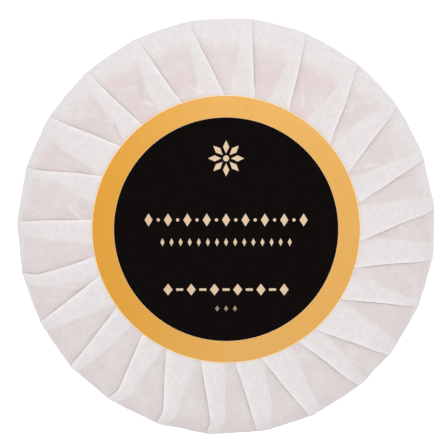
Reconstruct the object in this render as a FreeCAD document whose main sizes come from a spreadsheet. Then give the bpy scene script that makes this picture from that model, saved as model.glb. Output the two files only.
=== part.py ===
import FreeCAD, Part
import os

import Sketcher
from FreeCAD import Vector

# A shaving soap puck in its pleated tissue wrapper, closed by a round foil-stamped label.
#
# Millimetres. The puck lies on its smooth back: z = 0 is the paper under it, +Z points out of
# the label, and the origin is the middle of the back. +Y is towards the top of the label.

doc = FreeCAD.newDocument("soap_puck")

# ---------------------------------------------------------------------------------------------
# Driving dimensions. Everything else is worked out from these cells.

SIZES = [
    # the pressed cake of soap
    ("soap_diameter", 76.0),
    ("soap_height", 19.0),
    ("soap_edge_radius", 4.5),
    # the tissue as it lies: one layer with its wrinkles, and what two more folded layers add
    ("paper_wall", 0.2),
    ("paper_edge_radius", 5.0),
    ("side_gap", 0.6),
    ("pleat_rise", 0.25),
    # the knife pleats, gathered towards the middle of the front: each is drawn as a tapering arm
    # that starts inside the gathered middle and runs a spare length past the rim
    ("pleat_count", 24),
    ("pleat_start_height", 5.0),
    ("pleat_width_at_rim", 2.3),
    ("pleat_width_at_label", 5.6),
    ("gather_radius", 26.0),
    ("arm_inner_radius", 22.0),
    ("arm_spare", 2.0),
    # the round label: its glue, its black face paper and the film stamped on it
    ("label_diameter", 50.0),
    ("glue_inset", 0.4),
    ("glue_thickness", 0.05),
    ("label_thickness", 0.12),
    ("foil_thickness", 0.03),
    ("ring_inset", 0.15),
    ("ring_width", 3.95),
    # the stamped ornaments, each row given by its height on the label and its motif
    ("emblem_height", 13.25),
    ("emblem_petals", 8),
    ("petal_inner", 0.9),
    ("petal_outer", 3.35),
    ("petal_width", 1.15),
    ("emblem_bead", 0.55),
    ("title_row", 1.8),
    ("title_count", 9),
    ("title_pitch", 3.6),
    ("title_lozenge_width", 1.5),
    ("title_lozenge_height", 2.4),
    ("title_bead", 0.3),
    ("scent_row", -2.35),
    ("scent_count", 15),
    ("scent_pitch", 1.69),
    ("scent_lozenge_width", 0.75),
    ("scent_lozenge_height", 1.5),
    ("lower_row", -11.2),
    ("lower_count", 6),
    ("lower_pitch", 4.32),
    ("lower_lozenge_width", 1.7),
    ("lower_lozenge_height", 2.2),
    ("lower_bar_width", 1.3),
    ("lower_bar_height", 0.45),
    ("foot_row", -14.75),
    ("foot_count", 3),
    ("foot_pitch", 1.65),
    ("foot_lozenge_width", 0.8),
    ("foot_lozenge_height", 1.1),
]

# Worked out in the sheet itself, so that a change of one driving size moves all that follows.
DERIVED = [
    ("soap_bottom", "=paper_wall"),
    ("layer_radius", "=soap_diameter / 2 + side_gap + paper_wall"),
    ("layer_top", "=soap_height + 2 * paper_wall"),
    ("pleat_radius", "=layer_radius + pleat_rise"),
    ("pleat_top", "=layer_top + pleat_rise"),
    ("arm_outer_radius", "=pleat_radius + arm_spare"),
    ("label_bottom", "=pleat_top + glue_thickness"),
    ("foil_bottom", "=label_bottom + label_thickness"),
    ("ring_outer", "=label_diameter / 2 - ring_inset"),
]


def make_sheet():
    """The spreadsheet that holds every size under its own name."""
    cells = doc.addObject("Spreadsheet::Sheet", "sizes")
    for row, (name, value) in enumerate(SIZES + DERIVED, start=1):
        cells.set(f"A{row}", name)
        cells.set(f"B{row}", str(value))
        cells.setAlias(f"B{row}", name)
    doc.recompute()
    return cells


sizes = make_sheet()


def bind(thing, prop, formula):
    """Binds a property to a formula whose words are the names of the sheet's cells."""
    words = {name for name, _ in SIZES + DERIVED}
    parts = formula.replace("(", " ( ").replace(")", " ) ").split()
    thing.setExpression(prop, " ".join(f"sizes.{p}" if p in words else p for p in parts))


# ---------------------------------------------------------------------------------------------
# How the bodies are begun and how their outlines are drawn


def new_body(label, bottom="0"):
    """A body whose own XY plane lies at the given height."""
    body = doc.addObject("PartDesign::Body", label)
    body.Label = label
    bind(body, "Placement.Base.z", bottom)
    return body


def new_sketch(body, name):
    """A sketch on the body's own XY plane."""
    plane = next(f for f in body.Origin.OriginFeatures if f.Role == "XY_Plane")
    sketch = body.newObject("Sketcher::SketchObject", name)
    sketch.AttachmentSupport = (plane, "")
    sketch.MapMode = "FlatFace"
    return sketch


def hold(sketch, name, formula, *constraint):
    """Adds a dimension to a sketch and binds it to the sheet."""
    index = sketch.addConstraint(Sketcher.Constraint(*constraint))
    sketch.renameConstraint(index, name)
    bind(sketch, f"Constraints.{name}", formula)


def draw_circle(sketch, formula):
    """A circle about the sketch's origin, with a bound radius."""
    sketch.addGeometry(Part.Circle(Vector(0, 0, 0), Vector(0, 0, 1), 1))
    sketch.addConstraint(Sketcher.Constraint("Coincident", 0, 3, -1, 1))
    hold(sketch, "radius", formula, "Radius", 0, 1.0)


def draw_quad(sketch, corners):
    """Four sides through corners, each given as its bound x and y and a first guess at both."""
    points = [Vector(x_guess, y_guess, 0) for _, _, x_guess, y_guess in corners]
    for i, point in enumerate(points):
        sketch.addGeometry(Part.LineSegment(point, points[(i + 1) % 4]))
    for i in range(4):
        sketch.addConstraint(Sketcher.Constraint("Coincident", i, 2, (i + 1) % 4, 1))
    for i, (x_formula, y_formula, x_guess, y_guess) in enumerate(corners):
        if x_guess:
            hold(sketch, f"across{i}", x_formula, "DistanceX", -1, 1, i, 1, x_guess)
        else:
            sketch.addConstraint(Sketcher.Constraint("PointOnObject", i, 1, -2))
        if y_guess:
            hold(sketch, f"along{i}", y_formula, "DistanceY", -1, 1, i, 1, y_guess)
        else:
            sketch.addConstraint(Sketcher.Constraint("PointOnObject", i, 1, -1))


def pad(body, sketch, name, formula):
    """Raises a sketch by a bound height."""
    feature = body.newObject("PartDesign::Pad", name)
    feature.Profile = sketch
    bind(feature, "Length", formula)
    doc.recompute()
    return feature


def repeat_round(body, feature, sketch, count):
    """Repeats a feature evenly round the body's own Z axis."""
    pattern = body.newObject("PartDesign::PolarPattern", "around")
    pattern.Originals = [feature]
    pattern.Axis = (sketch, ["N_Axis"])
    pattern.Angle = 360
    bind(pattern, "Occurrences", count)
    body.Tip = pattern
    doc.recompute()


def repeat_along(body, feature, sketch, name, count, pitch):
    """Repeats a feature along the body's own X axis."""
    pattern = body.newObject("PartDesign::LinearPattern", name)
    pattern.Originals = [feature]
    pattern.Direction = (sketch, ["H_Axis"])
    bind(pattern, "Length", f"{pitch} * ({count} - 1)")
    bind(pattern, "Occurrences", count)
    body.Tip = pattern
    doc.recompute()


def rounded_disc(label, bottom, radius, thickness, edge):
    """A disc with both its edges rounded over."""
    body = new_body(label, bottom)
    sketch = new_sketch(body, "outline")
    draw_circle(sketch, radius)
    disc = pad(body, sketch, "disc", thickness)
    rims = [f"Edge{i}" for i, e in enumerate(disc.Shape.Edges, start=1) if e.Closed]
    rounding = body.newObject("PartDesign::Fillet", "rounded_edges")
    rounding.Base = (disc, rims)
    bind(rounding, "Radius", edge)
    doc.recompute()
    return body


def thin_disc(label, bottom, radius, thickness):
    """A flat disc, such as a die-cut layer of the label."""
    disc = doc.addObject("Part::Cylinder", label)
    disc.Label = label
    bind(disc, "Radius", radius)
    bind(disc, "Height", thickness)
    bind(disc, "Placement.Base.z", bottom)
    return disc


# ---------------------------------------------------------------------------------------------
# The soap: a pressed round cake with both edges rounded


def soap_puck():
    return rounded_disc(
        "soap_puck", "soap_bottom", "soap_diameter / 2", "soap_height", "soap_edge_radius"
    )


# ---------------------------------------------------------------------------------------------
# The wrapper: one round sheet of tissue brought up round the soap from below. It is a single
# layer over the back and lower edge, and its fullness is laid in knife pleats, each three layers
# thick, that start on the side and widen until they meet under the label.


def pleat_star():
    """The plan of the pleats: a gathered middle with one tapering arm for each pleat."""
    body = new_body("pleat_star", "pleat_start_height")
    middle = new_sketch(body, "gathered_middle")
    draw_circle(middle, "gather_radius")
    pad(body, middle, "middle", "pleat_top")
    plan = new_sketch(body, "pleat_plan")
    draw_quad(
        plan,
        [
            ("arm_inner_radius", "pleat_width_at_label / 2", 22, 2.8),
            ("arm_outer_radius", "pleat_width_at_rim / 2", 41, 1.1),
            ("arm_outer_radius", "-1 * pleat_width_at_rim / 2", 41, -1.1),
            ("arm_inner_radius", "-1 * pleat_width_at_label / 2", 22, -2.8),
        ],
    )
    pleat = pad(body, plan, "pleat", "pleat_top")
    repeat_round(body, pleat, plan, "pleat_count")
    return body


def wrapper():
    layer = rounded_disc("one_layer", "0", "layer_radius", "layer_top", "paper_edge_radius")
    raised = rounded_disc(
        "raised_layers", "0", "pleat_radius", "pleat_top", "paper_edge_radius + pleat_rise"
    )
    hollow = rounded_disc(
        "hollow",
        "soap_bottom",
        "soap_diameter / 2 + side_gap",
        "soap_height",
        "paper_edge_radius - paper_wall",
    )
    pleats = doc.addObject("Part::Common", "pleats")
    pleats.Base = raised
    pleats.Tool = pleat_star()
    sheet_and_pleats = doc.addObject("Part::Fuse", "sheet_and_pleats")
    sheet_and_pleats.Base = layer
    sheet_and_pleats.Tool = pleats
    shell = doc.addObject("Part::Cut", "wrapper")
    shell.Label = "wrapper"
    shell.Base = sheet_and_pleats
    shell.Tool = hollow
    return shell


# ---------------------------------------------------------------------------------------------
# The label: a disc of black paper glued over the gathered pleats


def label_adhesive():
    return thin_disc(
        "label_adhesive", "pleat_top", "label_diameter / 2 - glue_inset", "glue_thickness"
    )


def label_face():
    return thin_disc("label_face", "label_bottom", "label_diameter / 2", "label_thickness")


# ---------------------------------------------------------------------------------------------
# The foil: metal film hot-stamped on the label. Every ornament is made of plain lozenges,
# beads and bars.


def foil_ring():
    """The broad ring round the label, just inside its cut edge."""
    ring = doc.addObject("Part::Cut", "foil_ring")
    ring.Label = "foil_ring"
    ring.Base = thin_disc("ring_disc", "foil_bottom", "ring_outer", "foil_thickness")
    ring.Tool = thin_disc(
        "ring_hole", "foil_bottom", "ring_outer - ring_width", "foil_thickness"
    )
    return ring


def foil_emblem():
    """A rosette of narrow petals round a bead."""
    body = new_body("foil_emblem", "foil_bottom")
    bind(body, "Placement.Base.y", "emblem_height")
    plan = new_sketch(body, "petal_plan")
    draw_quad(
        plan,
        [
            ("petal_inner", "0", 0.9, 0),
            ("(petal_inner + petal_outer) / 2", "petal_width / 2", 2.1, 0.6),
            ("petal_outer", "0", 3.3, 0),
            ("(petal_inner + petal_outer) / 2", "-1 * petal_width / 2", 2.1, -0.6),
        ],
    )
    petal = pad(body, plan, "petal", "foil_thickness")
    repeat_round(body, petal, plan, "emblem_petals")
    middle = new_sketch(body, "bead_plan")
    draw_circle(middle, "emblem_bead")
    pad(body, middle, "bead", "foil_thickness")
    return body


def draw_lozenge(sketch, width, height):
    draw_quad(
        sketch,
        [
            (f"{width} / 2", "0", 1, 0),
            ("0", f"{height} / 2", 0, 1),
            (f"-1 * {width} / 2", "0", -1, 0),
            ("0", f"-1 * {height} / 2", 0, -1),
        ],
    )


def lozenge_row(name):
    """A level row of lozenges, centred on the label, at the height its cells give."""
    body = new_body(f"foil_{name}_rule", "foil_bottom")
    bind(body, "Placement.Base.x", f"-1 * {name}_pitch * ({name}_count - 1) / 2")
    bind(body, "Placement.Base.y", f"{name}_row")
    plan = new_sketch(body, "lozenge_plan")
    draw_lozenge(plan, f"{name}_lozenge_width", f"{name}_lozenge_height")
    lozenge = pad(body, plan, "lozenge", "foil_thickness")
    repeat_along(body, lozenge, plan, "lozenges", f"{name}_count", f"{name}_pitch")
    return body


def foil_title_rule():
    """The main rule, whose tall lozenges have a small bead in each space between them."""
    body = lozenge_row("title")
    plan = new_sketch(body, "bead_plan")
    bind(plan, "AttachmentOffset.Base.x", "title_pitch / 2")
    draw_circle(plan, "title_bead")
    bead = pad(body, plan, "bead", "foil_thickness")
    repeat_along(body, bead, plan, "beads", "title_count - 1", "title_pitch")
    return body


def foil_lower_rule():
    """The lower rule, whose lozenges have a short bar in each space between them."""
    body = lozenge_row("lower")
    plan = new_sketch(body, "bar_plan")
    bind(plan, "AttachmentOffset.Base.x", "lower_pitch / 2")
    draw_quad(
        plan,
        [
            ("lower_bar_width / 2", "lower_bar_height / 2", 0.6, 0.2),
            ("-1 * lower_bar_width / 2", "lower_bar_height / 2", -0.6, 0.2),
            ("-1 * lower_bar_width / 2", "-1 * lower_bar_height / 2", -0.6, -0.2),
            ("lower_bar_width / 2", "-1 * lower_bar_height / 2", 0.6, -0.2),
        ],
    )
    bar = pad(body, plan, "bar", "foil_thickness")
    repeat_along(body, bar, plan, "bars", "lower_count - 1", "lower_pitch")
    return body


# ---------------------------------------------------------------------------------------------
# Build, check and write each piece

pieces = [
    soap_puck(),
    wrapper(),
    label_adhesive(),
    label_face(),
    foil_ring(),
    foil_emblem(),
    foil_title_rule(),
    lozenge_row("scent"),
    foil_lower_rule(),
    lozenge_row("foot"),
]
doc.recompute()

for thing in doc.Objects:
    if {"Invalid", "Error"} & set(thing.State):
        raise RuntimeError(f"{thing.Name} could not be built: {thing.State}")

for piece in pieces:
    if piece.Shape.isNull() or not piece.Shape.isValid():
        raise RuntimeError(f"{piece.Label} has no valid shape")

os.makedirs("parts", exist_ok=True)
for piece in pieces:
    piece.Shape.exportStep(f"parts/{piece.Label}.step")
    box = piece.Shape.BoundBox
    print(f"{piece.Label}: {len(piece.Shape.Solids)} solids, {piece.Shape.Volume:.3f} mm3, "
          f"x {box.XMin:.2f}..{box.XMax:.2f}, y {box.YMin:.2f}..{box.YMax:.2f}, "
          f"z {box.ZMin:.3f}..{box.ZMax:.3f}")
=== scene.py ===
import bpy
import bmesh
import math
import numpy as np
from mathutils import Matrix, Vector, noise


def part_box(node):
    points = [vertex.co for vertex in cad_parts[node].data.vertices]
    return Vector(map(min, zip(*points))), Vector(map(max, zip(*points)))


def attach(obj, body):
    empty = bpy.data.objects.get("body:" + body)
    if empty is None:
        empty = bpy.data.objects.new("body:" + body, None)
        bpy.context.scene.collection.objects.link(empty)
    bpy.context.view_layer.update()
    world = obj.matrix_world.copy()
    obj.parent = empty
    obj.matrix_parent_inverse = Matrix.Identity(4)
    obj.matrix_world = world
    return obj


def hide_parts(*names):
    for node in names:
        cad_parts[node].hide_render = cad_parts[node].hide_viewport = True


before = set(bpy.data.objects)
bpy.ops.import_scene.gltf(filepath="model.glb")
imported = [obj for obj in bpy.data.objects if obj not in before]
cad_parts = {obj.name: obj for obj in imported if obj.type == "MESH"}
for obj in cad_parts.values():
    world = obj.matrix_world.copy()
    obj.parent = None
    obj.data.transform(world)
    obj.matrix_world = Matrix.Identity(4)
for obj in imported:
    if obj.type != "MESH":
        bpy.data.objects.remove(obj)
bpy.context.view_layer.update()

# ---------------------------------------------------------------------------------------------
# The soap puck: a pressed cake of hard milled shaving soap, faintly pink, with the cloudy
# streaks and fine grain that the mill leaves in it. It lies sealed inside the tissue.


def add_node(tree, kind, inputs=None, **settings):
    """Adds a shader node with its settings, and links or sets its inputs by name or number."""
    made = tree.nodes.new(kind)
    for name, value in settings.items():
        setattr(made, name, value)
    for name, value in (inputs or {}).items():
        if isinstance(value, bpy.types.NodeSocket):
            tree.links.new(value, made.inputs[name])
        else:
            made.inputs[name].default_value = value
    return made


def maths(tree, operation, a, b=0.0, clamp=False):
    """One sum on values that change over the surface."""
    return add_node(
        tree, "ShaderNodeMath", {0: a, 1: b}, operation=operation, use_clamp=clamp
    ).outputs[0]


def blend_colours(tree, share, first, second):
    """The first colour, turning into the second as share goes from 0 to 1."""
    made = add_node(tree, "ShaderNodeMix", {0: share, 6: first, 7: second}, data_type="RGBA")
    return made.outputs[2]


def graded(tree, value, low, high, to_low=0.0, to_high=1.0):
    """A value spread again from one range to another, and held at its ends."""
    made = add_node(
        tree,
        "ShaderNodeMapRange",
        {0: value, 1: low, 2: high, 3: to_low, 4: to_high},
        clamp=True,
    )
    return made.outputs[0]


def cloud(tree, place, scale, detail=3.0, roughness=0.55):
    """Soft uneven patches, about 1 / scale across."""
    return add_node(
        tree,
        "ShaderNodeTexNoise",
        {"Vector": place, "Scale": scale, "Detail": detail, "Roughness": roughness},
    ).outputs["Fac"]


def new_material(name):
    """An empty material with its surface shader, and the tree that they are in."""
    material = bpy.data.materials.new(name)
    material.use_nodes = True
    return material, material.node_tree, material.node_tree.nodes["Principled BSDF"]


def finish_cad_node(name, material):
    """Gives a carried-over node its material in every slot that it has."""
    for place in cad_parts[name].material_slots:
        place.material = material


def new_effect(name, numbers, gives):
    """An empty node group that takes a place and named numbers: its tree, inputs and outputs."""
    group = bpy.data.node_groups.new(name, "ShaderNodeTree")
    group.interface.new_socket("Place", in_out="INPUT", socket_type="NodeSocketVector")
    for number, usual in numbers.items():
        made = group.interface.new_socket(number, in_out="INPUT", socket_type="NodeSocketFloat")
        made.default_value = usual
    for result in gives:
        group.interface.new_socket(result, in_out="OUTPUT", socket_type="NodeSocketFloat")
    taken = group.nodes.new("NodeGroupInput").outputs
    given = group.nodes.new("NodeGroupOutput").inputs
    return group, taken, given


def put_effect(tree, group, **inputs):
    """Places a node group in a material, with its own values, and returns its outputs."""
    named = {name.replace("_", " "): value for name, value in inputs.items()}
    return add_node(tree, "ShaderNodeGroup", named, node_tree=group).outputs


def patches_and_grain():
    """Soft patches with a finer grain on them, as in milled soap, spread glue or pressed foil."""
    numbers = {"Patch scale": 60.0, "Grain scale": 2400.0, "Grain share": 0.3}
    group, taken, given = new_effect("patches_and_grain", numbers, ("Patches", "Grain", "Relief"))
    patches = graded(group, cloud(group, taken["Place"], taken["Patch scale"], 4.0), 0.33, 0.67)
    grain = graded(group, cloud(group, taken["Place"], taken["Grain scale"], 2.0), 0.3, 0.7)
    finer = maths(group, "MULTIPLY", grain, taken["Grain share"])
    group.links.new(patches, given["Patches"])
    group.links.new(grain, given["Grain"])
    group.links.new(maths(group, "ADD", patches, finer), given["Relief"])
    return group


unevenness = patches_and_grain()


def milled_soap():
    material, tree, surface = new_material("milled_soap")
    place = add_node(tree, "ShaderNodeTexCoord").outputs["Object"]
    mill = put_effect(tree, unevenness, Place=place, Patch_scale=55.0, Grain_scale=2400.0)
    colour = blend_colours(tree, mill["Patches"], (0.70, 0.50, 0.46, 1), (0.78, 0.60, 0.55, 1))
    tree.links.new(colour, surface.inputs["Base Color"])
    tree.links.new(graded(tree, mill["Grain"], 0, 1, 0.38, 0.55), surface.inputs["Roughness"])
    bump = add_node(
        tree, "ShaderNodeBump", {"Height": mill["Relief"], "Strength": 0.4, "Distance": 0.0002}
    )
    tree.links.new(bump.outputs[0], surface.inputs["Normal"])
    surface.inputs["Subsurface Weight"].default_value = 0.2
    surface.inputs["Subsurface Scale"].default_value = 0.002
    return material


finish_cad_node("soap_puck", milled_soap())

# ---------------------------------------------------------------------------------------------
# The wrapper: one round sheet of thin, silky tissue. It lies smooth under the puck and comes up
# round the side, where its fullness is laid in knife pleats that all fold clockwise. Each pleat
# is three layers thick and widens towards the middle, where the label holds them all down.

MM = 0.001
LAYER_RISE = 0.075 * MM  # how much each folded layer lifts the one over it
EDGE_BEND = 5.2 * MM  # the sheet's bend over both edges of the soap
SOAP_EDGE = 4.5 * MM  # the soap's own rounding beneath that bend
BACK_LIFT = 0.03 * MM  # how far the smooth back lies above the floor
ARM_RISE = 0.25 * MM  # how far the plain shell's raised pleats stand above its front
FOLD_ROUND = 0.06 * MM  # how far a folded edge is rounded
OPENS_OVER = 0.6 * MM  # a pleat narrower than this isn't fully folded yet
TONE_REACH = 0.16 * MM  # how softly the tone changes over a hidden fold
PUCKER_WIDTH = 0.26 * MM  # from a pucker's crest to where it has mostly died away
SHEET_END = 15.0 * MM  # the sheet's cut edge is hidden this far from the label's middle
LABEL_REACH = 25.0 * MM  # from the label's middle to its edge

# Each pleat, in degrees: where its folded edge meets the rim and the label, clockwise from the
# top, how wide it is at the label and near the rim, and how far its edge turns where it goes
# over the edge of the soap.
PLEATS = [
    (7.0, 12.5, 11.0, 2.5, 0.0),
    (22.5, 28.0, 10.0, 2.5, 0.0),
    (39.0, 50.5, 14.0, 2.0, 0.0),
    (54.5, 65.5, 14.5, 3.5, 0.0),
    (70.5, 78.5, 12.0, 3.0, 0.0),
    (85.0, 95.0, 14.5, 4.0, 0.0),
    (98.5, 106.5, 11.5, 5.0, 0.0),
    (112.0, 121.5, 11.5, 2.0, 0.0),
    (128.0, 138.5, 17.5, 5.0, 0.0),
    (140.0, 147.5, 10.5, 3.0, 0.0),
    (156.0, 164.5, 14.5, 4.0, 0.0),
    (171.0, 176.0, 12.5, 4.5, 0.0),
    (185.0, 191.0, 11.0, 3.5, 1.6),
    (199.5, 206.5, 13.0, 3.5, 1.6),
    (214.5, 218.5, 9.5, 3.0, 1.6),
    (228.5, 234.0, 10.0, 3.0, 0.0),
    (243.0, 249.5, 13.5, 3.5, 0.0),
    (257.5, 258.5, 8.5, 3.0, 1.6),
    (272.0, 274.5, 10.0, 4.0, 0.0),
    (287.0, 293.5, 12.0, 2.0, 0.0),
    (302.5, 308.5, 14.5, 5.0, 0.0),
    (318.5, 321.5, 10.5, 2.5, 0.0),
    (335.0, 341.0, 11.0, 3.0, 0.0),
    (350.0, 359.0, 12.0, 1.5, 0.0),
]

soap_low, soap_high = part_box("soap_puck")
wrap_low, wrap_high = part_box("wrapper")
label_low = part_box("label_adhesive")[0]
side_reach = wrap_high[0]
front_height = wrap_high[2] - ARM_RISE
flat_reach = side_reach - EDGE_BEND
bend_length = EDGE_BEND * math.pi / 2
wall_height = front_height - BACK_LIFT - 2 * EDGE_BEND
wall_end = flat_reach + bend_length + wall_height
front_start = wall_end + bend_length
label_at = front_start + flat_reach - LABEL_REACH


def profile(along):
    """Radius, height and outward direction of the sheet, so far along it from its middle."""
    turn = np.clip((along - flat_reach) / EDGE_BEND, 0, math.pi / 2)
    turn += np.clip((along - wall_end) / EDGE_BEND, 0, math.pi / 2)
    radius = np.minimum(along, flat_reach) + EDGE_BEND * np.sin(turn)
    radius -= np.maximum(along - front_start, 0)
    height = BACK_LIFT + EDGE_BEND * (1 - np.cos(turn))
    height += np.clip(along - flat_reach - bend_length, 0, wall_height)
    return radius, height, np.sin(turn), -np.cos(turn)


def ease(value, low, high):
    """0 below low, 1 above high, and a smooth rise between."""
    share = np.clip((value - low) / (high - low), 0, 1)
    return share * share * (3 - 2 * share)


def rows_along():
    """How far each row of the mesh is from the sheet's middle: closest where it is seen most."""
    stretches = [
        (0.0, flat_reach, 24),
        (flat_reach, flat_reach + bend_length, 14),
        (flat_reach + bend_length, wall_end, 22),
        (wall_end, front_start, 30),
        (front_start, label_at, 36),
        (label_at, label_at + LABEL_REACH - SHEET_END, 8),
    ]
    runs = [np.linspace(low, high, count, endpoint=False) for low, high, count in stretches]
    return np.concatenate([*runs, [stretches[-1][1]]])


along = rows_along()
radius, height, out_r, out_z = profile(along)
near_rim_at = front_start - 0.5 * bend_length
safe_radius = np.maximum(radius, 1 * MM)


def room_over_soap():
    """How far the sheet is from the soap on every row, before it is folded and crumpled."""
    across = flat_reach - (soap_high[0] - SOAP_EDGE)
    over_top = front_height - EDGE_BEND - (soap_high[2] - SOAP_EDGE)
    over_bottom = BACK_LIFT + EDGE_BEND - (soap_low[2] + SOAP_EDGE)
    over = np.where(out_z > 0, over_top, over_bottom)
    return EDGE_BEND - SOAP_EDGE + across * out_r + over * out_z


def wander(seed, length):
    """A slow drift along the sheet, about -1 to 1, different for each seed."""
    return np.array([noise.noise(Vector((seed, place / length, 5.5))) for place in along])


def fold_line(at_rim, at_label, turned):
    """The angle of a folded edge on every row: plumb on the side, and straight over the front.

    A few of them turn a little clockwise as they go over the soap's edge.
    """
    start, end = math.radians(at_rim - turned), math.radians(at_label)
    corner = side_reach * LABEL_REACH
    apart = math.sqrt(side_reach**2 + LABEL_REACH**2 - 2 * corner * math.cos(end - start))
    nearest = corner * math.sin(end - start) / apart
    out = np.where(along < wall_end, side_reach, radius)
    straight = start + math.acos(nearest / side_reach)
    straight = straight - np.arccos(nearest / np.maximum(out, nearest))
    below = np.clip((wall_end - along) / wall_height, 0, 1)
    lean = 1.0 + 3.0 * noise.noise(Vector((at_rim, 8.5, 0)))
    over_edge = np.where(along < wall_end, 1, ease(radius, side_reach - 3.6 * MM, side_reach))
    straight += np.radians(turned * over_edge - lean * below)
    return straight + np.radians(0.5) * wander(at_rim, 8 * MM)


def pleat_lines(pleat):
    """The angle of a pleat's folded edge and the pleat's width, in radians, on every row."""
    at_rim, at_label, wide_at_label, wide_near_rim, turned = pleat
    even = 180 / len(PLEATS) * (along - radius) / safe_radius
    share = np.interp(
        along,
        [near_rim_at, label_at],
        [
            wide_near_rim / np.interp(near_rim_at, along, even),
            wide_at_label / np.interp(label_at, along, even),
        ],
    )
    begins = flat_reach + bend_length * (0.5 + 0.4 * noise.noise(Vector((at_rim, 3.1, 0))))
    grown = ease(along, begins, begins + 9 * MM)
    width = even * share * grown * (1 + 0.12 * wander(-at_rim, 5 * MM))
    return fold_line(at_rim, at_label, turned), np.radians(width)


lines = [pleat_lines(pleat) for pleat in PLEATS]


def line_of(number):
    """A pleat's edge and width, counted on round the puck past either end of the list."""
    laps, place = divmod(number, len(PLEATS))
    edge, width = lines[place]
    return edge + laps * 2 * math.pi, width


def over_hidden_fold(angle, hidden, width, reach):
    """0 before a hidden fold and 2, for the two layers that begin there, so far past it."""
    opened = ease(width * radius, 0, OPENS_OVER)
    return 2 * opened * ease(angle, hidden - 2 * reach / safe_radius, hidden + reach / safe_radius)


# Where the columns stand across each stretch, closest where the sheet bends or its tone changes.
UNDER_PLEAT = (0.0, 0.2, 0.5, 0.8)
SINGLE_LAYER = (
    0, 0.03, 0.07, 0.12, 0.19, 0.27, 0.36, 0.45, 0.55, 0.65, 0.75, 0.84, 0.91, 0.95, 0.98,
)
OVER_PLEAT = (0, 0.02, 0.05, 0.1, 0.2, 0.34, 0.5, 0.66, 0.8, 0.9, 0.96, 1)
BACK_BENEATH = (0, 0.12, 0.5, 0.88, 1)


def columns_of(number):
    """The sheet's columns from under one folded edge, over the front and back under the next.

    Each is (angle, layers that lift it, layers beneath it, the same once the label has pressed
    it, 1 if it springs up with the folded edge), row by row.
    """
    before, width_before = line_of(number - 1)
    edge, width = line_of(number)
    following, width_after = line_of(number + 1)
    hidden, hidden_after = edge - width, following - width_after
    opened = ease(width * radius, 0, OPENS_OVER)
    fold_before = np.minimum(FOLD_ROUND / safe_radius, width_before / 3)
    fold = np.minimum(FOLD_ROUND / safe_radius, width / 3)
    bridge = (0.5 + 0.45 * noise.noise(Vector((number % len(PLEATS) * 3.7, 0.5, 0)))) * MM

    def below(angle, reach=TONE_REACH):
        return over_hidden_fold(angle, hidden, width, reach) + lower(angle, reach)

    def lower(angle, reach=TONE_REACH):
        after = over_hidden_fold(angle, hidden_after, width_after, reach)
        return after * (hidden_after < edge)

    made = []
    for share in UNDER_PLEAT:
        angle = before - width_before + fold_before + (width_before - fold_before) * share
        made.append((angle, below(angle, bridge), below(angle), 0, 0))
    covered = np.maximum(hidden, before)
    for share in SINGLE_LAYER:
        angle = before + (covered - before) * share
        made.append((angle, below(angle, bridge), below(angle), 2, 1))
    for share in OVER_PLEAT:
        angle = covered + (edge - fold - covered) * share
        made.append((angle, below(angle, bridge), below(angle), 2, 1))
    made.append((edge, 1.5 * opened + lower(edge, bridge), below(edge), 1.5, 1))
    for share in BACK_BENEATH:
        angle = edge - fold - (width - 2 * fold) * share
        made.append((angle, opened + lower(angle, bridge), below(angle), 1, 1))
    made.append((hidden, 0.5 * opened + lower(hidden, bridge), lower(hidden), 0.5, 0))
    return [(number, *column) for column in made]


def crumple(x, y, z):
    """The tissue's own unevenness at a point of its surface, about -1 to 1."""
    place = Vector((x, y, z)) / MM
    creased = noise.ridged_multi_fractal(place / 4.2, 0.9, 2.1, 3, 0.9, 2.0) - 0.8
    fine = noise.ridged_multi_fractal(place / 2.0, 0.9, 2.1, 2, 0.9, 2.0) - 0.8
    return 0.5 * noise.noise(place / 7.0) + 0.35 * creased + 0.2 * fine


# Single puckers, pressed in as the pleats were laid: where each is, in degrees clockwise from
# the top and in millimetres from the middle, its length in millimetres, its lean from the
# radius in degrees, and its height in millimetres, below zero for a dent.
PUCKERS = [
    (328.5, 30.2, 4.0, 15.0, -0.30),
    (328.5, 27.5, 3.2, -35.0, 0.30),
    (312.0, 27.0, 4.0, 20.0, -0.30),
    (276.0, 28.2, 5.5, 42.0, 0.30),
    (279.0, 27.0, 4.0, 20.0, -0.20),
    (309.0, 35.0, 3.5, 40.0, 0.22),
    (348.0, 26.5, 3.5, -55.0, 0.22),
    (30.5, 28.0, 4.0, -30.0, 0.25),
    (18.5, 27.0, 3.0, 20.0, -0.20),
    (47.0, 34.5, 4.5, 35.0, 0.22),
    (46.0, 31.5, 3.5, 40.0, 0.18),
    (66.0, 29.3, 3.5, 15.0, 0.30),
    (65.0, 35.0, 4.0, 10.0, 0.15),
    (73.5, 34.0, 4.0, 12.0, -0.22),
    (92.0, 35.8, 3.0, 75.0, 0.28),
    (107.5, 37.0, 3.4, 80.0, 0.28),
    (110.0, 29.0, 3.5, 5.0, 0.20),
    (20.5, 37.0, 2.0, 0.0, -0.25),
    (184.5, 36.8, 2.4, 5.0, -0.30),
    (348.0, 36.5, 2.5, 60.0, 0.20),
    (222.0, 35.0, 3.0, 35.0, -0.20),
    (249.5, 31.0, 5.0, 25.0, 0.20),
    (248.0, 35.5, 4.0, 0.0, 0.15),
    (136.0, 34.5, 3.5, -25.0, 0.18),
    (150.0, 33.0, 4.0, 30.0, 0.15),
]


def puckers(x, y):
    """How far the single puckers raise the sheet at a place on the front."""
    raised = 0 * x
    for turn, out, length, lean, rise in PUCKERS:
        turn, lean = math.radians(turn), math.radians(turn + lean)
        dx, dy = x - out * MM * math.sin(turn), y - out * MM * math.cos(turn)
        beside = np.abs(dx * math.cos(lean) - dy * math.sin(lean)) / PUCKER_WIDTH
        end = np.abs(dx * math.sin(lean) + dy * math.cos(lean)) / (length * MM / 2)
        raised = raised + rise * MM * np.exp(-beside) * (1 - ease(end, 0.3, 1.2))
    return raised


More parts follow.
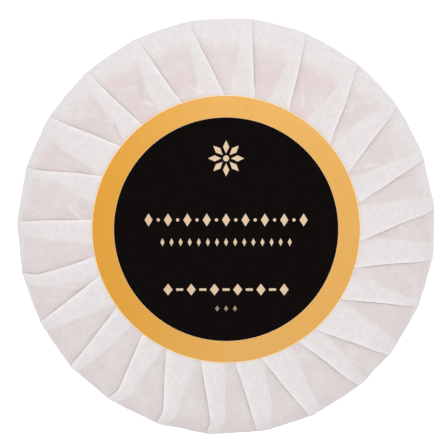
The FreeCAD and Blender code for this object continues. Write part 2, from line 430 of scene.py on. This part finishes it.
def stand_off(angle):
    """How far the sheet stands off round the side, in millimetres.

    It is drawn straight from pleat to pleat. It is looser along one slant than across it, and a
    little looser here and there.
    """
    loose = np.vectorize(lambda a: noise.noise(Vector((2 * math.cos(a), 2 * math.sin(a), 4.2))))
    slack = 0.08 + 0.15 * np.cos(2 * (angle - math.radians(45))) + 0.12 * loose(angle)
    rims = [pleat[0] for pleat in PLEATS]
    stops = [rims[-1] - 360, *rims, rims[0] + 360]
    counted = np.interp(np.degrees(angle) % 360, stops, range(-1, len(rims) + 1))
    across = 2 * (counted % 1) - 1
    drawn_in = 0.15 - 0.04 * np.cos(angle - math.radians(45))
    return slack - drawn_in * (1 - across**2) ** 1.5


def mesh_of(places):
    """A mesh of the columns' points, closed round the puck."""
    count, rows = places.shape[:2]
    faces = []
    for column in range(count):
        beside = (column + 1) % count
        for row in range(rows - 1):
            a, b = column * rows + row, beside * rows + row
            faces.append((a, b, b + 1, a + 1))
    mesh = bpy.data.meshes.new("tissue_wrapper")
    mesh.from_pydata(places.reshape(-1, 3).tolist(), [], faces)
    return mesh


def keep_flat_places(mesh, angle):
    """Keeps where each point was on the flat sheet: its turn grows along every layer."""
    step = np.abs(np.diff(angle, axis=0, append=angle[:1] + 2 * math.pi))
    gone_round = np.cumsum(step, axis=0)
    gone_round *= 2 * math.pi / gone_round[-1]
    flat = [along * np.sin(gone_round), along * np.cos(gone_round), 0 * angle]
    made = mesh.attributes.new("sheet_place", "FLOAT_VECTOR", "POINT")
    made.data.foreach_set("vector", np.stack(flat, axis=2).ravel().astype(np.float32))


def weld(mesh):
    """Joins points that lie together, turns the faces to one side of the sheet and smooths them."""
    work = bmesh.new()
    work.from_mesh(mesh)
    bmesh.ops.remove_doubles(work, verts=work.verts, dist=0.0005 * MM)
    bmesh.ops.recalc_face_normals(work, faces=work.faces)
    for face in work.faces:
        face.smooth = True
    work.to_mesh(mesh)
    work.free()


def build_wrapper():
    """The folded sheet as one mesh, with the values that its material reads."""
    columns = [column for number in range(len(PLEATS)) for column in columns_of(number)]
    angle = np.stack([column[1] for column in columns])
    lifted = np.stack([column[2] for column in columns])
    beneath = np.stack([column[3] for column in columns])
    pressed = np.array([column[4] for column in columns])[:, None]
    springs = np.array([column[5] for column in columns])[:, None]
    edge = np.stack([line_of(column[0])[0] for column in columns])
    before = np.stack([line_of(column[0] - 1)[0] for column in columns])
    width = np.stack([line_of(column[0])[1] for column in columns])

    on_front = ease(along, front_start - 0.8 * bend_length, front_start)
    on_side = ease(along, flat_reach + 0.4 * bend_length, flat_reach + bend_length)
    on_side *= 1 - ease(along, front_start - 0.55 * bend_length, front_start)
    on_back = 1 - ease(along, flat_reach - 6 * MM, flat_reach + 2 * MM)
    held = ease(along, label_at - 3.5 * MM, label_at - 0.3 * MM)

    # the folded edges spring up a little where nothing holds them
    to_edge = np.maximum(edge - angle, 0) * radius
    opened = ease(width * radius, 0.5 * MM, 2 * MM)
    out = front_start + flat_reach - along
    flattened = ease(out, 32 * MM, 38 * MM) * (0.5 + 0.5 * np.cos(angle - math.radians(30)))
    spring = 0.13 * MM * np.exp(-to_edge / (0.9 * MM)) * opened * springs * (1 - 0.8 * flattened)
    lift = lifted * LAYER_RISE * (1 - 0.4 * on_side) + spring * on_front
    lift = lift + on_side * MM * stand_off(angle)

    # wrinkles: the tissue's own, and long ones drawn towards the label
    x, y = radius * np.sin(angle), radius * np.cos(angle)
    rough = np.vectorize(crumple)(x, y, height + 0 * x)
    drawn = np.vectorize(lambda a, b: noise.noise(Vector((a * 38.0, b / (11 * MM), 7.7))))
    streak = drawn(angle, along + 0 * angle)
    wrinkle = 0.16 * rough + 0.15 * streak * (0.45 + 0.55 * on_front)
    lift = lift + MM * wrinkle * (1 - on_back)
    pinched = puckers(x, y) * on_front
    lift = lift + pinched
    lift = lift - MM * 0.12 * np.abs(rough) * on_back

    # the label presses the layers flat against its glue, and the soap stops the sheet beneath
    under_label = label_low[2] - front_height - 0.01 * MM - (2 - pressed) * LAYER_RISE
    lift = lift + (under_label - lift) * held
    lift = np.maximum(lift, 0.05 * MM - room_over_soap())

    reach = radius + lift * out_r
    level = np.maximum(height + lift * out_z, wrap_low[2])
    places = np.stack([reach * np.sin(angle), reach * np.cos(angle), level], axis=2)
    mesh = mesh_of(places)

    # how far each point lies past the folded edge before it, for the painted shadow there; and a
    # painted highlight along the folded edges, strongest on the left and weakest where they lie
    # flat at the upper right
    leaving = (angle - before) * radius
    highlight_strength = (0.78 - 0.18 * np.sin(angle)) * (1 - 0.8 * flattened)
    # the soap shows through where the tissue lies on it, and less where it stands off the edge;
    # this reaches further out at the bottom than at the top, partly for the tissue lying closer on
    # the soap there and partly as painted shade, darker towards the bottom
    touch = (38.2 - 3.9 * np.cos(angle) + 1.8 * rough) * MM
    on_soap_and_shade = 1 - 0.92 * ease(out, touch - 1.8 * MM, touch + 2.2 * MM) * (1 - 0.7 * on_back)
    # painted shade over the soap's edge below the foot of the label, darkest at the bottom
    bottom_rim_shade = on_soap_and_shade * ease(out, 34 * MM, 41 * MM) * np.maximum(-np.cos(angle), 0) ** 6
    read = {
        "layers": 1 + np.minimum(beneath, 2),
        "contact_and_shade": on_soap_and_shade,
        # painted highlight along each folded edge
        "fold_edge_highlight": np.exp(-to_edge / (0.38 * MM)) * opened * springs * highlight_strength,
        "pinched": pinched / (0.3 * MM),
        # painted shadow just past each folded edge, and the painted shade at the bottom
        "fold_and_rim_shade": np.exp(-np.maximum(leaving, 0) / (0.4 * MM)) * opened + 0.9 * bottom_rim_shade,
        # the colour seen through the tissue is rosier towards the top and greyer towards the bottom
        "rosy": 0.5 + 0.5 * np.cos(angle) + 0 * along,
    }
    for name, value in read.items():
        made = mesh.attributes.new(name, "FLOAT", "POINT")
        made.data.foreach_set("value", value.ravel().astype(np.float32))

    keep_flat_places(mesh, angle)
    weld(mesh)
    wrapper = bpy.data.objects.new("tissue_wrapper", mesh)
    bpy.context.collection.objects.link(wrapper)
    return wrapper


wrapper = build_wrapper()


def paper_fibres():
    """Fine fibres that lie all ways in a sheet of paper: a mask of them, and their relief."""
    group, taken, given = new_effect("paper_fibres", {"Fibre scale": 1500.0}, ("Fibres", "Relief"))
    laid = None
    for turned, stretch in ((20, (1, 0.2, 1)), (75, (0.25, 1, 1)), (140, (1, 0.3, 1))):
        lying = add_node(
            group,
            "ShaderNodeMapping",
            {"Vector": taken["Place"], "Rotation": (0, 0, math.radians(turned)), "Scale": stretch},
        )
        strands = cloud(group, lying.outputs[0], taken["Fibre scale"], 3.0, 0.6)
        laid = strands if laid is None else maths(group, "MAXIMUM", laid, strands)
    fibres = graded(group, laid, 0.5, 0.72)
    group.links.new(fibres, given["Fibres"])
    group.links.new(laid, given["Relief"])
    return group


fibres_in_paper = paper_fibres()


def tissue():
    material, tree, surface = new_material("silky_tissue")

    def reading(name):
        return add_node(tree, "ShaderNodeAttribute", attribute_name=name)

    place = reading("sheet_place").outputs["Vector"]
    layers = reading("layers").outputs["Fac"]
    contact_and_shade = reading("contact_and_shade").outputs["Fac"]
    fold_edge_highlight = reading("fold_edge_highlight").outputs["Fac"]
    fold_and_rim_shade = reading("fold_and_rim_shade").outputs["Fac"]
    rosy = reading("rosy").outputs["Fac"]
    pinched = reading("pinched").outputs["Fac"]
    mottle = put_effect(tree, unevenness, Place=place, Patch_scale=240.0, Grain_scale=1300.0)
    pulp = put_effect(tree, fibres_in_paper, Place=place, Fibre_scale=1500.0)
    through = graded(tree, layers, 1.0, 3.0, 1.0, 0.2)
    through = maths(tree, "MULTIPLY", through, contact_and_shade)
    through = maths(tree, "MULTIPLY", through, graded(tree, mottle["Patches"], 0, 1, 0.55, 1.3))
    speckled = blend_colours(tree, pulp["Fibres"], (0.69, 0.655, 0.656, 1), (0.76, 0.732, 0.733, 1))
    soap_beneath = blend_colours(tree, rosy, (0.630, 0.574, 0.571, 1), (0.67, 0.575, 0.567, 1))
    colour = blend_colours(tree, through, speckled, soap_beneath)
    flecks = maths(tree, "MULTIPLY", mottle["Grain"], 0.12)
    colour = blend_colours(tree, flecks, colour, (0.9, 0.88, 0.87, 1))
    # painted highlight on the puckers' crests and painted shadow in their dents
    raised = graded(tree, pinched, 0.1, 1.0, 0, 0.45)
    dented = graded(tree, pinched, -1.0, -0.1, 0.5, 0)
    # painted highlight: the folded edges and the puckers' crests are lightened
    highlighted = maths(tree, "ADD", maths(tree, "MULTIPLY", fold_edge_highlight, 0.55), raised)
    # painted shade: the shadow past the folded edges, the shade at the bottom and the dents'
    # shadows darken the colour
    shaded = maths(tree, "ADD", maths(tree, "MULTIPLY", fold_and_rim_shade, 0.4), dented)
    colour = blend_colours(tree, highlighted, colour, (0.97, 0.95, 0.94, 1))
    colour = blend_colours(tree, shaded, colour, (0.50, 0.43, 0.42, 1))
    tree.links.new(colour, surface.inputs["Base Color"])
    tree.links.new(graded(tree, mottle["Patches"], 0, 1, 0.42, 0.6), surface.inputs["Roughness"])
    creases = add_node(
        tree,
        "ShaderNodeTexNoise",
        {"Vector": place, "Scale": 420.0, "Detail": 3.0, "Distortion": 0.6},
        noise_type="RIDGED_MULTIFRACTAL",
        normalize=False,
    ).outputs["Fac"]
    relief = maths(tree, "ADD", maths(tree, "MULTIPLY", creases, 0.25), mottle["Relief"])
    relief = maths(tree, "ADD", relief, pulp["Relief"])
    bump = add_node(
        tree, "ShaderNodeBump", {"Height": relief, "Strength": 0.6, "Distance": 0.00015}
    )
    tree.links.new(bump.outputs[0], surface.inputs["Normal"])
    surface.inputs["Specular IOR Level"].default_value = 0.3
    return material


wrapper.data.materials.append(tissue())
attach(wrapper, "root")
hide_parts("wrapper")

# ---------------------------------------------------------------------------------------------
# The label's glue: a thin cream coat of adhesive, a little smaller than the label that it holds
# down on the gathered tissue.


def label_glue():
    material, tree, surface = new_material("label_glue")
    place = add_node(tree, "ShaderNodeTexCoord").outputs["Object"]
    coat = put_effect(tree, unevenness, Place=place, Patch_scale=700.0, Grain_scale=5000.0)
    colour = blend_colours(tree, coat["Patches"], (0.72, 0.67, 0.55, 1), (0.80, 0.76, 0.65, 1))
    tree.links.new(colour, surface.inputs["Base Color"])
    tree.links.new(graded(tree, coat["Patches"], 0, 1, 0.25, 0.45), surface.inputs["Roughness"])
    bump = add_node(
        tree, "ShaderNodeBump", {"Height": coat["Relief"], "Strength": 0.4, "Distance": 0.00005}
    )
    tree.links.new(bump.outputs[0], surface.inputs["Normal"])
    return material


finish_cad_node("label_adhesive", label_glue())

# ---------------------------------------------------------------------------------------------
# The label's face: a die-cut disc of cream paper printed matt black, with a hairline left
# unprinted on both sides of the foil ring.

RING_WIDTH = 3.95 * MM


def label_paper():
    material, tree, surface = new_material("black_label_paper")
    place = add_node(tree, "ShaderNodeTexCoord").outputs["Object"]
    apart = add_node(tree, "ShaderNodeSeparateXYZ", {0: place})
    level = add_node(tree, "ShaderNodeCombineXYZ", {0: apart.outputs[0], 1: apart.outputs[1]})
    length = add_node(tree, "ShaderNodeVectorMath", {0: level.outputs[0]}, operation="LENGTH")
    out = length.outputs["Value"]
    ring_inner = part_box("foil_ring")[1][0] - RING_WIDTH
    printed = graded(tree, out, ring_inner - 0.06 * MM, ring_inner - 0.03 * MM, 1.0, 0.0)
    pulp = put_effect(tree, fibres_in_paper, Place=place, Fibre_scale=2600.0)
    bare = blend_colours(tree, pulp["Fibres"], (0.92, 0.76, 0.56, 1), (0.95, 0.81, 0.63, 1))
    ink = blend_colours(
        tree, pulp["Fibres"], (0.0035, 0.0022, 0.0020, 1), (0.0060, 0.0040, 0.0040, 1)
    )
    tree.links.new(blend_colours(tree, printed, bare, ink), surface.inputs["Base Color"])
    tree.links.new(graded(tree, pulp["Fibres"], 0, 1, 0.62, 0.8), surface.inputs["Roughness"])
    bump = add_node(
        tree, "ShaderNodeBump", {"Height": pulp["Relief"], "Strength": 0.3, "Distance": 0.00003}
    )
    tree.links.new(bump.outputs[0], surface.inputs["Normal"])
    surface.inputs["Specular IOR Level"].default_value = 0.02
    return material


finish_cad_node("label_face", label_paper())

# ---------------------------------------------------------------------------------------------
# The foil: thin metal film stamped on the label with a hot die. The broad ring is a deeper gold
# than the small ornaments, and the row at the foot is the faintest.


def stamped_foil(name, deep, pale):
    """Satin metal film, with painted light and shade: deeper on the label's left than on its right.
    """
    material, tree, surface = new_material(name)
    place = add_node(tree, "ShaderNodeTexCoord").outputs["Object"]
    press = put_effect(tree, unevenness, Place=place, Patch_scale=60.0, Grain_scale=1800.0)
    across = add_node(tree, "ShaderNodeSeparateXYZ", {0: place}).outputs[0]
    # painted light and shade: the film goes from deep at the label's left to pale at its right
    painted_light_to_right = graded(tree, across, -24 * MM, 0)
    tone = maths(tree, "MULTIPLY", press["Patches"], 0.15)
    tone = maths(tree, "ADD", tone, maths(tree, "MULTIPLY", painted_light_to_right, 0.85), clamp=True)
    tree.links.new(blend_colours(tree, tone, deep, pale), surface.inputs["Base Color"])
    satin = graded(tree, press["Grain"], 0, 1, 0.45, 0.58)
    tree.links.new(satin, surface.inputs["Roughness"])
    bump = add_node(
        tree, "ShaderNodeBump", {"Height": press["Relief"], "Strength": 0.25, "Distance": 0.00002}
    )
    tree.links.new(bump.outputs[0], surface.inputs["Normal"])
    surface.inputs["Metallic"].default_value = 1.0
    return material


ring_gold = stamped_foil("ring_gold_foil", (0.68, 0.33, 0.04, 1), (0.725, 0.413, 0.12, 1))
finish_cad_node("foil_ring", ring_gold)
ornament_gold = stamped_foil("pale_gold_foil", (0.64, 0.47, 0.30, 1), (0.69, 0.53, 0.37, 1))
for name in ("foil_emblem", "foil_title_rule", "foil_scent_rule", "foil_lower_rule"):
    finish_cad_node(name, ornament_gold)
faint_gold = stamped_foil("faint_gold_foil", (0.30, 0.21, 0.15, 1), (0.33, 0.24, 0.18, 1))
finish_cad_node("foil_foot_rule", faint_gold)

# ---------------------------------------------------------------------------------------------
# The studio: a white floor lit from within, a broad soft light above the puck's top, a weaker
# one low down beyond its foot, and a camera on a long lens, nearly straight above it.

floor_mesh = bpy.data.meshes.new("studio_floor")
wide = 3.0
corners = [(-wide, -wide, 0), (wide, -wide, 0), (wide, wide, 0), (-wide, wide, 0)]
floor_mesh.from_pydata(corners, [], [(0, 1, 2, 3)])
floor = bpy.data.objects.new("studio_floor", floor_mesh)
bpy.context.collection.objects.link(floor)
floor_material, floor_tree, floor_surface = new_material("white_floor")
floor_place = add_node(floor_tree, "ShaderNodeTexCoord").outputs["Object"]
floor_tone = blend_colours(
    floor_tree, cloud(floor_tree, floor_place, 8.0), (0.88, 0.88, 0.88, 1), (0.91, 0.91, 0.91, 1)
)
floor_tree.links.new(floor_tone, floor_surface.inputs["Base Color"])
floor_surface.inputs["Roughness"].default_value = 0.9
floor_surface.inputs["Emission Color"].default_value = (1, 1, 1, 1)
seen = add_node(floor_tree, "ShaderNodeLightPath").outputs["Is Camera Ray"]
glow = graded(floor_tree, seen, 0, 1, 0.12, 0.6)
floor_tree.links.new(glow, floor_surface.inputs["Emission Strength"])
floor_mesh.materials.append(floor_material)

scene = bpy.context.scene
scene.view_settings.view_transform = "Standard"
world = bpy.data.worlds.new("studio_air")
world.use_nodes = True
air = world.node_tree.nodes["Background"]
air.inputs["Color"].default_value = (1, 1, 1, 1)
air.inputs["Strength"].default_value = 0.9
scene.world = world


def soft_light(name, place, size, power):
    """A square soft light aimed at the puck."""
    lamp = bpy.data.lights.new(name, "AREA")
    lamp.size = size
    lamp.energy = power
    holder = bpy.data.objects.new(name, lamp)
    holder.location = place
    holder.rotation_euler = (-Vector(place)).to_track_quat("-Z", "Y").to_euler()
    bpy.context.collection.objects.link(holder)


soft_light("top_light", (0.02, 0.28, 0.60), 0.30, 1.0)
soft_light("fill_light", (-0.02, -0.55, 0.10), 0.30, 0.38)

tilt = math.radians(4.6)
far = 0.6
frame_width = 83.2 * MM  # across the picture, at the label's height
label_over_aim = 10 * MM
aim = Vector((-0.39 * MM, 0.25 * MM, 10 * MM))
camera = bpy.data.cameras.new("camera")
camera.sensor_width = 36.0
camera.lens = camera.sensor_width * (far - label_over_aim) / frame_width
stand = bpy.data.objects.new("camera", camera)
stand.location = aim + Vector((0, math.sin(tilt), math.cos(tilt))) * far
stand.rotation_euler = (-tilt, 0, 0)
bpy.context.collection.objects.link(stand)
scene.camera = stand
